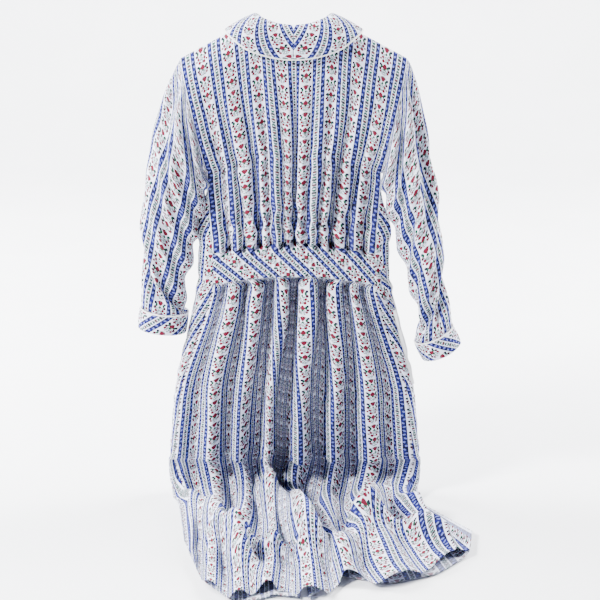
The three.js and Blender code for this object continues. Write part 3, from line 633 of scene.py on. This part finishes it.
def print_material(name, wash=0.0):
    """Cotton printed with garland columns between blue bands. wash fades it, as on the cloth's wrong side."""
    g = Graph(name)
    uv = g.nodes.new("ShaderNodeUVMap")
    uv.uv_map = "cut"
    split = g.nodes.new("ShaderNodeSeparateXYZ")
    g.put(split.inputs[0], uv.outputs[0])
    across, along = g.mul(split.outputs[0], 1000.0), g.mul(split.outputs[1], 1000.0)
    ax = g.abs(g.wrap(across, REPEAT))

    def spot(at_x, at_y, rx, ry=None):
        """An oval at a place and its mirror image, in the wide column."""
        dx = g.mul(g.sub(ax, at_x), 0.49 / rx)
        dy = g.mul(g.wrap(g.sub(along, at_y), REPEAT), 0.49 / (ry or rx))
        return g.less(g.add(g.mul(dx, dx), g.mul(dy, dy)), 1.0)

    def heart(at_y, size, up):
        dx = g.mul(ax, 1.0 / size)
        dy = g.mul(g.wrap(g.sub(along, at_y), REPEAT), -up / size)
        rise = g.sub(dy, g.mul(g.math("SQRT", dx), 0.62))
        return g.less(g.add(g.mul(dx, dx), g.mul(rise, rise)), 0.85)

    def arc(at_y, radius, half, bend):
        """A thin garland that bows up in its middle."""
        dy = g.wrap(g.sub(along, at_y), REPEAT)
        line = g.sub(dy, g.mul(g.mul(ax, ax), bend))
        return g.both(g.less(g.abs(line), half), g.less(ax, radius))

    # The blue bands, mottled and flecked.
    band = g.both(g.less(12.9, ax), g.less(ax, 20.8))
    mottle = g.noise(uv.outputs[0], 190.0, 3.0)
    blue = g.mix(g.less(0.5, mottle), BLUE_MID, BLUE_DARK)
    fleck_y = g.wrap(along, 8.6)
    fleck_x = g.sub(ax, g.add(16.8, g.mul(g.math("SINE", g.mul(along, 0.41)), 1.6)))
    fleck = g.less(g.add(g.mul(fleck_x, fleck_x), g.mul(fleck_y, fleck_y)), 4.4)
    blue = g.mix(g.mul(fleck, 0.9), blue, BLUE_PALE)
    colour = g.mix(band, GROUND, blue)

    # The narrow column: a vine of small flowers.
    nx = g.sub(REPEAT / 2, ax)
    for at, ink, r in (
        (0.0, NAVY, 1.0), (5.2, GREEN, 1.1), (10.3, DARK_RED, 1.4), (15.5, GREEN, 1.0), (20.6, RED, 1.3),
    ):
        dy = g.wrap(g.sub(along, at), REPEAT / 2)
        hit = g.less(g.add(g.mul(g.sub(nx, 1.3), g.sub(nx, 1.3)), g.mul(dy, dy)), r * r * 3.0)
        colour = g.mix(hit, colour, ink)
    stem = g.add(1.7, g.mul(g.math("SINE", g.mul(along, 0.61)), 1.0))
    vine = g.both(g.less(g.abs(g.sub(nx, stem)), 0.8), g.less(nx, 5.0))
    colour = g.mix(g.mul(vine, 0.75), colour, LEAF)

    # The wide column: hearts, a posy, garlands and dots.
    soft = g.noise(uv.outputs[0], 420.0, 2.0)
    posy = g.both(g.either(spot(0.0, 18.2, 3.8, 3.0), spot(0.0, 43.6, 3.6, 2.8)), g.less(0.47, soft))
    colour = g.mix(g.mul(posy, 0.85), colour, LEAF)
    colour = g.mix(g.mul(g.either(arc(0.4, 6.2, 0.8, 0.10), arc(25.6, 6.0, 0.8, -0.10)), 0.95), colour, GREEN)
    colour = g.mix(g.either(spot(0.0, 12.4, 1.0), spot(0.0, 38.9, 1.0)), colour, GREEN)
    colour = g.mix(g.either(spot(6.4, 9.0, 1.0, 1.6), spot(6.2, 34.6, 1.0, 1.6)), colour, GREEN)
    colour = g.mix(g.either(spot(8.7, 5.4, 1.15), spot(8.6, 32.0, 1.15)), colour, NAVY)
    colour = g.mix(g.either(spot(8.6, 13.4, 1.25), spot(8.6, 39.2, 1.25)), colour, DARK_RED)
    colour = g.mix(g.either(spot(6.2, 18.6, 1.1), spot(7.0, 43.8, 1.1)), colour, RED)
    colour = g.mix(g.either(spot(4.5, 25.2, 1.3), spot(9.6, 22.0, 0.9)), colour, RED)
    colour = g.mix(g.either(heart(6.4, 4.7, 1.0), heart(32.4, 4.7, -1.0)), colour, RED)

    # Print density, wear and the weave.
    worn = g.noise(uv.outputs[0], 900.0, 1.0)
    colour = g.mix(g.mul(worn, 0.03 + wash), colour, GROUND)
    g.put(g.shader.inputs["Base Color"], colour)
    rough = g.add(0.78, g.mul(mottle, 0.16))
    g.put(g.shader.inputs["Roughness"], rough)
    g.shader.inputs["Specular IOR Level"].default_value = 0.04
    g.shader.inputs["Sheen Weight"].default_value = 0.0
    weave = g.mul(g.math("SINE", g.mul(across, 7.2)), g.math("SINE", g.mul(along, 7.2)))
    normal = g.bump(weave, 0.00012, 0.5)
    crumple = g.noise(uv.outputs[0], 45.0, 3.0)
    normal = g.bump(crumple, 0.0035, 0.55, normal)
    g.put(g.shader.inputs["Normal"], normal)
    return g.material


PRINT = print_material("print_cotton")
WRONG_SIDE = print_material("print_cotton_inside", 0.45)


def plain_material(name, colour, rough, metal=0.0, weave=0.0, grain=260.0, bump=0.0002):
    g = Graph(name)
    coords = g.nodes.new("ShaderNodeTexCoord").outputs["Object"]
    speck = g.noise(coords, grain, 3.0)
    darker = tuple(c * 0.82 for c in colour[:3]) + (1.0,)
    g.put(g.shader.inputs["Base Color"], g.mix(g.mul(speck, 0.5), colour, darker))
    g.put(g.shader.inputs["Roughness"], g.add(rough - 0.06, g.mul(speck, 0.14)))
    g.shader.inputs["Metallic"].default_value = metal
    height = speck
    if weave:
        split = g.nodes.new("ShaderNodeSeparateXYZ")
        g.put(split.inputs[0], coords)
        ribs = g.math("SINE", g.mul(g.add(split.outputs[2], g.mul(split.outputs[0], 0.6)), weave))
        height = g.add(speck, ribs)
    g.put(g.shader.inputs["Normal"], g.bump(height, bump, 0.6))
    return g.material


PIPING = plain_material("piping", rgb(244, 244, 246), 0.82, weave=5200.0)
TAPE = plain_material("zip_tape", rgb(236, 236, 238), 0.85, weave=4200.0)
COIL = plain_material("zip_coil", rgb(232, 233, 236), 0.45, weave=4200.0, bump=0.0006)
NICKEL = plain_material("nickel", rgb(190, 192, 196), 0.28, metal=1.0, grain=90.0, bump=0.00005)
COTTON = plain_material("white_cotton", rgb(238, 238, 240), 0.86, weave=5200.0)

# ---- The sewn panels as pieces ----


def finish_cloth(obj, body, nodes, thickness=0.0005, subdivide=1):
    obj.data.materials.append(PRINT)
    obj.data.materials.append(WRONG_SIDE)
    if subdivide:
        sub = obj.modifiers.new("smooth", "SUBSURF")
        sub.levels = sub.render_levels = subdivide
        sub.uv_smooth = "PRESERVE_BOUNDARIES"
    thick = obj.modifiers.new("cloth", "SOLIDIFY")
    thick.thickness = thickness
    thick.offset = 0.0
    thick.material_offset = 1
    thick.material_offset_rim = 0
    if body:
        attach(obj, body)
    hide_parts(*nodes)
    return obj


def grid_object(name, points, cut, ring=False, flip=False):
    rows, columns = points.shape[:2]
    faces, cuts = [], []
    for i in range(rows - 1):
        for j in range(columns if ring else columns - 1):
            k = (j + 1) % columns
            edge = cut[:, k] if k else cut[:, j] * 2 - cut[:, j - 1]
            face = [i * columns + j, i * columns + k, (i + 1) * columns + k, (i + 1) * columns + j]
            corners = [cut[i, j], edge[i], edge[i + 1], cut[i + 1, j]]
            faces.append(face[::-1] if flip else face)
            cuts.append(corners[::-1] if flip else corners)
    return mesh_object(name, points.reshape(-1, 3) * MM, faces, cuts)


def tube(name, path, radius, closed=False, sides=10):
    """A round cord along a path of points, in millimetres."""
    path = np.asarray(path, float)
    n = len(path)
    ahead = np.roll(path, -1, axis=0) - np.roll(path, 1, axis=0)
    if not closed:
        ahead[0], ahead[-1] = path[1] - path[0], path[-1] - path[-2]
    ahead /= np.linalg.norm(ahead, axis=1, keepdims=True)
    centre = path.mean(axis=0)
    up = np.cross(ahead, path - centre)
    up /= np.linalg.norm(up, axis=1, keepdims=True)
    out = np.cross(up, ahead)
    points = []
    for i in range(n):
        for k in range(sides):
            angle = 2 * math.pi * k / sides
            points.append(path[i] + radius * (math.cos(angle) * out[i] + math.sin(angle) * up[i]))
    faces = []
    for i in range(n if closed else n - 1):
        for k in range(sides):
            m, q = (i + 1) % n, (k + 1) % sides
            faces.append((i * sides + k, m * sides + k, m * sides + q, i * sides + q))
    if not closed:
        faces += [tuple(range(sides))[::-1], tuple((n - 1) * sides + k for k in range(sides))]
    return mesh_object(name, np.array(points) * MM, faces)


def trim(obj, body, material, node):
    obj.data.materials.append(material)
    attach(obj, body)
    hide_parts(node)
    return obj


def part(name):
    """The faces of one panel as an object of its own."""
    faces = [f for f, p in zip(sewn.faces, sewn.panel) if p == name]
    cuts = [c for c, p in zip(sewn.cuts, sewn.panel) if p == name]
    used = sorted({v for f in faces for v in f})
    to = {v: i for i, v in enumerate(used)}
    faces = [[to[v] for v in f] for f in faces]
    if name.startswith("back") or name in ("front_left", "sleeve_right"):
        faces = [f[::-1] for f in faces]
        cuts = [c[::-1] for c in cuts]
    return mesh_object("cloth_" + name, settled[used] * MM, faces, cuts)


for name in ("back_bodice", "back_waistband", "back_skirt", "front_left", "front_right"):
    finish_cloth(part(name), "gown", [name])
for name, side in SIDES.items():
    obj = finish_cloth(part("sleeve_" + name), None, ["sleeve_" + name])
    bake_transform(obj)


# ---- Facings, pocket, loop and zip ----


def settled_front(name, t, level, off):
    """A point on a front as it settled, at a share across and a level, off along its outward normal."""
    grid = settled[fronts[name]]
    i = np.interp(level, LEVELS, np.arange(len(LEVELS)))
    j = np.asarray(t) * (FRONT_COLUMNS - 1)
    i0, j0 = np.clip(i.astype(int), 0, len(LEVELS) - 2), np.clip(j.astype(int), 0, FRONT_COLUMNS - 2)
    u, v = (i - i0)[..., None], (j - j0)[..., None]
    near = grid[i0, j0] * (1 - u) + grid[i0 + 1, j0] * u
    far = grid[i0, j0 + 1] * (1 - u) + grid[i0 + 1, j0 + 1] * u
    p = near * (1 - v) + far * v
    across = grid[i0, j0 + 1] - grid[i0, j0]
    down = grid[i0 + 1, j0] - grid[i0, j0]
    normal = np.cross(across, down) * SIDES[name]
    return p + off * normal / np.linalg.norm(normal, axis=-1, keepdims=True)


BAND_LAYER = 3.2
FACING_LEVELS, FACING_SHARE, FACING_INSET = (98.0, 850.0), 0.27, 5.6
ZIP_CLEAR = 7.6  # the facings stop this far from the middle, clear of the slider
FRONT_FLAT = 200.0  # a front's cloth width for the pieces sewn to it
WELT_LONG, WELT_WIDE, WELT_PROUD = 110.0, 22.0, 3.4
WELT_LEVELS, BAG_LEVELS, BAG_INSET = (490.0, 590.0), (470.0, 755.0), 4.4
LOOP_RADIUS = 1.9

band = settled[back[BAND_START : BAND_STOP + 1]] + np.array([0, BAND_LAYER, 0])
u, v = np.meshgrid(SHARES * WAIST_HALF, band_rows[-1] - np.concatenate([[BAND_END], band_rows]), indexing="xy")
cut = np.stack([(u + v) * BIAS, (u - v) * BIAS], axis=-1)
finish_cloth(grid_object("cloth_waistband_facing", band, cut), "gown", ["waistband_facing"], 0.0006)
for name, side in SIDES.items():
    level, t = np.meshgrid(np.linspace(*FACING_LEVELS, 60), np.linspace(0, FACING_SHARE, 8), indexing="ij")
    cut = np.stack([t * FRONT_FLAT + 13, level], axis=-1)
    lining = settled_front(name, t, level, -FACING_INSET)
    lining[..., 0] = side * np.maximum(side * lining[..., 0], ZIP_CLEAR)
    facing = grid_object("cloth_front_facing_" + name, lining, cut, flip=side > 0)
    finish_cloth(facing, "gown", ["front_facing_" + name], 0.0006)
down, over = np.meshgrid(np.linspace(0, 1, 14), np.linspace(-0.5, 0.5, 7), indexing="ij")
welt = settled_front("right", lerp(0.93, 0.86, down) + over * 0.08, lerp(*WELT_LEVELS, down), WELT_PROUD)
long, wide = down * WELT_LONG, over * WELT_WIDE
turned = np.stack([(long + wide) * BIAS, (long - wide) * BIAS], axis=-1)
finish_cloth(grid_object("cloth_pocket_welt", welt, turned), "gown", ["pocket_welt"], 0.0008)
level, t = np.meshgrid(np.linspace(*BAG_LEVELS, 30), np.linspace(0.34, 0.97, 24), indexing="ij")
cut = np.stack([t * FRONT_FLAT, level], axis=-1)
bag = grid_object("cloth_pocket_bag", settled_front("right", t, level, -BAG_INSET), cut)
finish_cloth(bag, "gown", ["pocket_bag"], 0.0006)
bag.data.materials.clear()
bag.data.materials.append(COTTON)
bag.data.materials.append(COTTON)
(loop_lo, loop_hi) = (np.array(v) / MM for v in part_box("hanging_loop"))
middle = (loop_lo + loop_hi) / 2
angle = np.linspace(0, math.pi, 17)
half, fall = (loop_hi[0] - loop_lo[0]) / 2 - 2, loop_hi[2] - loop_lo[2] - 3
path = np.stack(
    [middle[0] + half * np.cos(angle), np.full_like(angle, middle[1]), loop_hi[2] - 1.5 - fall * np.sin(angle)],
    axis=-1,
)
trim(tube("cord_hanging_loop", path, LOOP_RADIUS), "gown", COTTON, "hanging_loop")
for node, material in (
    ("zip_tape_left", TAPE), ("zip_tape_right", TAPE), ("zip_coil_left", COIL), ("zip_coil_right", COIL),
    ("zip_top_stop_left", NICKEL), ("zip_top_stop_right", NICKEL), ("zip_bottom_stop", NICKEL),
    ("zip_slider", NICKEL), ("zip_pull", NICKEL),
):
    mesh = bpy.data.objects[node].data
    mesh.materials.clear()
    mesh.materials.append(material)

# ---- Collar ----

COLLAR_BACK_DROP, COLLAR_HALF, COLLAR_FRONT, COLLAR_STAND = 72.0, 132.0, (44.0, 168.0), 14.0
COLLAR_OFF, STAND_IN, LAYER = 6.8, 3.2, 2.8


def skin_point(x, drop, front, off):
    """A point off the gown's surface, on its front or its back, at a place across and a drop."""
    top = np.where(front, front_top(x), back_top(x))
    out, up = over_shoulder(drop, top)
    a = x / SHOULDER_HALF
    level = SHOULDER_DROP + drop * 0.5
    side = np.where(level < UNDERARM_DROP, armhole_depth(level), seam_depth(level))
    full = np.where(front, FRONT_DEPTH, lerp(BACK_DEPTH, side, np.abs(a) ** 2.5))
    neck = np.where(x < NECK_HALF, neck_depth(x, np.where(front, FRONT_DEPTH, BACK_NECK_DEPTH)), 0)
    y = lerp(neck, np.maximum(full, neck), out)
    return np.stack([x, np.where(front, 1, -1) * (y + off * out), -drop + off * up], axis=-1)


def collar_point(side, angle, row, extra=0.0):
    """A point on the collar: angle runs round the neck, row from the stand (under 0) to the outer edge (1)."""
    front = np.cos(angle) >= 0
    s, c = np.sin(angle), np.abs(np.cos(angle))
    half = np.maximum(NECK_HALF * s, np.where(front, FRONT_GAP + 1, 0.4))
    neck = np.where(front, front_top(half), back_top(half))
    outer_x = lerp(np.where(front, COLLAR_FRONT[0], 0.4), COLLAR_HALF, s)
    edge = np.where(front, COLLAR_FRONT[1], COLLAR_BACK_DROP)
    outer = lerp(shoulder_drop(COLLAR_HALF), edge, c * c)
    fall = np.clip(row, 0, 1)
    off = COLLAR_OFF + extra
    p = skin_point(lerp(half, outer_x, fall), lerp(neck, outer, fall), front, off)
    slope = np.where(front, np.arctan(1.25 * FRONT_NECK_DROP * (half / NECK_HALF) ** 0.25 / NECK_HALF), 0)
    tilt = slope * np.clip((math.pi / 2 - angle) / (math.pi / 10), 0, 1) * (1 - fall)
    p[..., 0] -= off * np.sin(tilt) * np.minimum(1, half / 30)
    p[..., 2] -= off * (1 - np.cos(tilt)) * (1 - fall)
    turned = np.clip(-row, 0, 1) * math.pi / 2
    inward = (STAND_IN + extra) * np.sin(turned)
    p[..., 2] -= off * (1 - np.cos(turned)) + COLLAR_STAND * np.clip(-row - 1, 0, 1)
    p[..., 1] -= np.where(front, 1, -1) * inward * c
    p[..., 0] -= np.minimum(inward * s, p[..., 0] - 0.4)
    p[..., 0] *= side
    return p


COLLAR_ROWS = np.array(
    [-2, -1.5, -1, -0.8, -0.6, -0.4, -0.2, 0, 0.04, 0.1, 0.18, 0.27, 0.37, 0.48, 0.6, 0.72, 0.84, 0.93, 1.0]
)
# Closest together over the shoulders, where the collar turns.
COLLAR_DEGREES = [np.linspace(0, 75, 20), np.linspace(77, 103, 20), np.linspace(105, 180, 34)]
COLLAR_ANGLES = np.concatenate(COLLAR_DEGREES) * math.pi / 180
for name, side in SIDES.items():
    row, angle = np.meshgrid(COLLAR_ROWS, COLLAR_ANGLES, indexing="ij")
    round_neck = (math.pi - angle) * 92
    down_fall = np.where(row > 0, row * 78, row * 13)
    cut = np.stack(
        [round_neck * 0.84 + down_fall * 0.545 + 8, down_fall * 0.84 - round_neck * 0.545], axis=-1
    )
    puff = np.clip(row, 0, 1) * (1 - np.clip(row, 0, 1)) * 4
    ripple = np.clip(row, 0, 1) * (1.6 * wobble(angle * 3, row, 61 + side, 1.0) + 1.0)
    upper = collar_point(side, angle, row, LAYER + 2.2 * puff + ripple)
    under = collar_point(side, angle, row, ripple)
    for layer, points, flip in (("upper", upper, side < 0), ("under", under, side > 0)):
        node = layer + "_collar_" + name
        finish_cloth(grid_object("cloth_" + node, points, cut, flip=flip), "gown", [node], 0.0008)
    rim = (upper[-1] + under[-1]) / 2
    outward = upper[-1] - upper[-2]
    outward /= np.linalg.norm(outward, axis=1, keepdims=True)
    trim(tube("cord_collar_" + name, rim + outward * 1.3, 1.7), "gown", PIPING, "collar_piping_" + name)

# ---- Cuffs ----


def cuff_point(name, side, angle, drop, grow):
    """A point round a cuff, at a drop below its seam and grown out from the sleeve's own ring."""
    (outer_x, outer), (inner_x, inner) = SLEEVE_ENDS[name]
    p = sleeve_point(name, side, angle, np.ones_like(angle))
    lean = np.array([side * (inner - outer), 0, -(outer_x - inner_x)])
    p = p + lean / np.linalg.norm(lean) * np.asarray(drop)[..., None]
    p[..., 0] += side * grow * np.cos(angle)
    p[..., 1] += grow * np.sin(angle)
    return p


for name, side in SIDES.items():
    angles = np.linspace(0, 2 * math.pi, 73)[:-1]
    drop, angle = np.meshgrid(np.linspace(3.4, CUFF_HEIGHT, 9), angles, indexing="ij")
    swell = 1.6 * wobble(np.cos(angle) * 2 + side, np.sin(angle) * 2 + drop / 40, 71 + side, 1.0)
    swell = swell + 1.4 * np.sin(math.pi * (drop - 3.4) / (CUFF_HEIGHT - 3.4))
    round_cuff = angle / (2 * math.pi) * 250
    cut = np.stack([-round_cuff * BIAS + drop * BIAS, round_cuff * BIAS + drop * BIAS], axis=-1)
    outer = cuff_point(name, side, angle, drop, 2.0 + swell)
    inner = cuff_point(name, side, angle, drop - 0.6, -0.6 + swell)
    for node, points, flip, thickness in (
        ("cuff_" + name, outer, side > 0, 0.0008), ("cuff_facing_" + name, inner, side < 0, 0.0006),
    ):
        layer = grid_object("cloth_" + node, points, cut, ring=True, flip=flip)
        finish_cloth(layer, "sleeve_" + name, [node], thickness)
    seam = cuff_point(name, side, angles, np.full_like(angles, 2.2), np.full_like(angles, 1.6))
    trim(tube("cord_cuff_" + name, seam, 1.5, closed=True), "sleeve_" + name, PIPING, "cuff_piping_" + name)

# ---- What each piece of cloth was before it was sewn ----

SHEETS = {
    "back_bodice": (0.44, 0.42, "gathered", "cloth_back_waistband"),
    "back_waistband": (0.33, 0.066, "hung", "cloth_back_bodice"),
    "back_skirt": (0.86, 0.95, "gathered", "cloth_back_waistband"),
    "waistband_facing": (0.33, 0.066, "hung", "cloth_back_waistband"),
    "pocket_welt": (0.105, 0.013, "folded", "cloth_front_right"),
    "pocket_bag": (0.15, 0.27, "hung", "cloth_front_right"),
}
for name in SIDES:
    SHEETS["front_" + name] = (0.31, 1.43, "hung", "cloth_back_bodice")
    SHEETS["sleeve_" + name] = (0.31, 0.52, "hung", "cloth_back_bodice")
    SHEETS["upper_collar_" + name] = (0.27, 0.09, "folded", "cloth_under_collar_" + name)
    SHEETS["under_collar_" + name] = (0.27, 0.09, "folded", "cloth_back_bodice")
    SHEETS["cuff_" + name] = (0.25, 0.042, "folded", "cloth_sleeve_" + name)
    SHEETS["cuff_facing_" + name] = (0.25, 0.042, "folded", "cloth_cuff_" + name)
    SHEETS["front_facing_" + name] = (0.1, 0.75, "hung", "cloth_front_" + name)
for name, (wide, long, held, on) in SHEETS.items():
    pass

# ---- Stage ----


def stage():
    """A pale floor that curves up into a wall, and the lamps."""
    near, far, curve, wall_top, half = -5.0, 3.4, 1.8, 4.0, 7.0
    ground = -FLOOR_DROP * MM
    sweep = [(lerp(near, far, i / 24), ground) for i in range(24)]
    for i in range(17):
        angle = i / 16 * math.pi / 2
        sweep.append((far + curve * math.sin(angle), ground + curve * (1 - math.cos(angle))))
    sweep.append((far + curve, wall_top))
    points = [(x, y, z) for y, z in sweep for x in (-half, half)]
    faces = [(2 * i, 2 * i + 1, 2 * i + 3, 2 * i + 2) for i in range(len(sweep) - 1)]
    floor = mesh_object("sweep", points, faces)
    floor.data.materials.append(plain_material("paper", rgb(246, 247, 250), 0.9, grain=3.0, bump=0.0001))
    for name, at, aim, size, power in (
        ("key", (-2.4, -1.5, 1.6), (0, 0, -0.5), 0.7, 455),
        ("fill", (1.6, -2.8, 0.5), (0, 0, -0.5), 1.8, 2),
        ("behind_left", (-2.8, 1.0, 1.9), (-0.3, 3.6, -0.9), 2.4, 900),
        ("behind_right", (2.8, 1.0, 1.9), (0.3, 3.6, -0.9), 2.4, 900),
    ):
        data = bpy.data.lights.new(name, "AREA")
        data.size = size
        data.energy = power
        lamp = bpy.data.objects.new(name, data)
        lamp.location = at
        lamp.rotation_euler = (Vector(aim) - Vector(at)).to_track_quat("-Z", "Y").to_euler()
        bpy.context.scene.collection.objects.link(lamp)
    world = bpy.data.worlds.new("studio")
    world.use_nodes = True
    world.node_tree.nodes["Background"].inputs[0].default_value = (0.66, 0.70, 1.0, 1.0)
    world.node_tree.nodes["Background"].inputs[1].default_value = 0.07
    bpy.context.scene.world = world


stage()
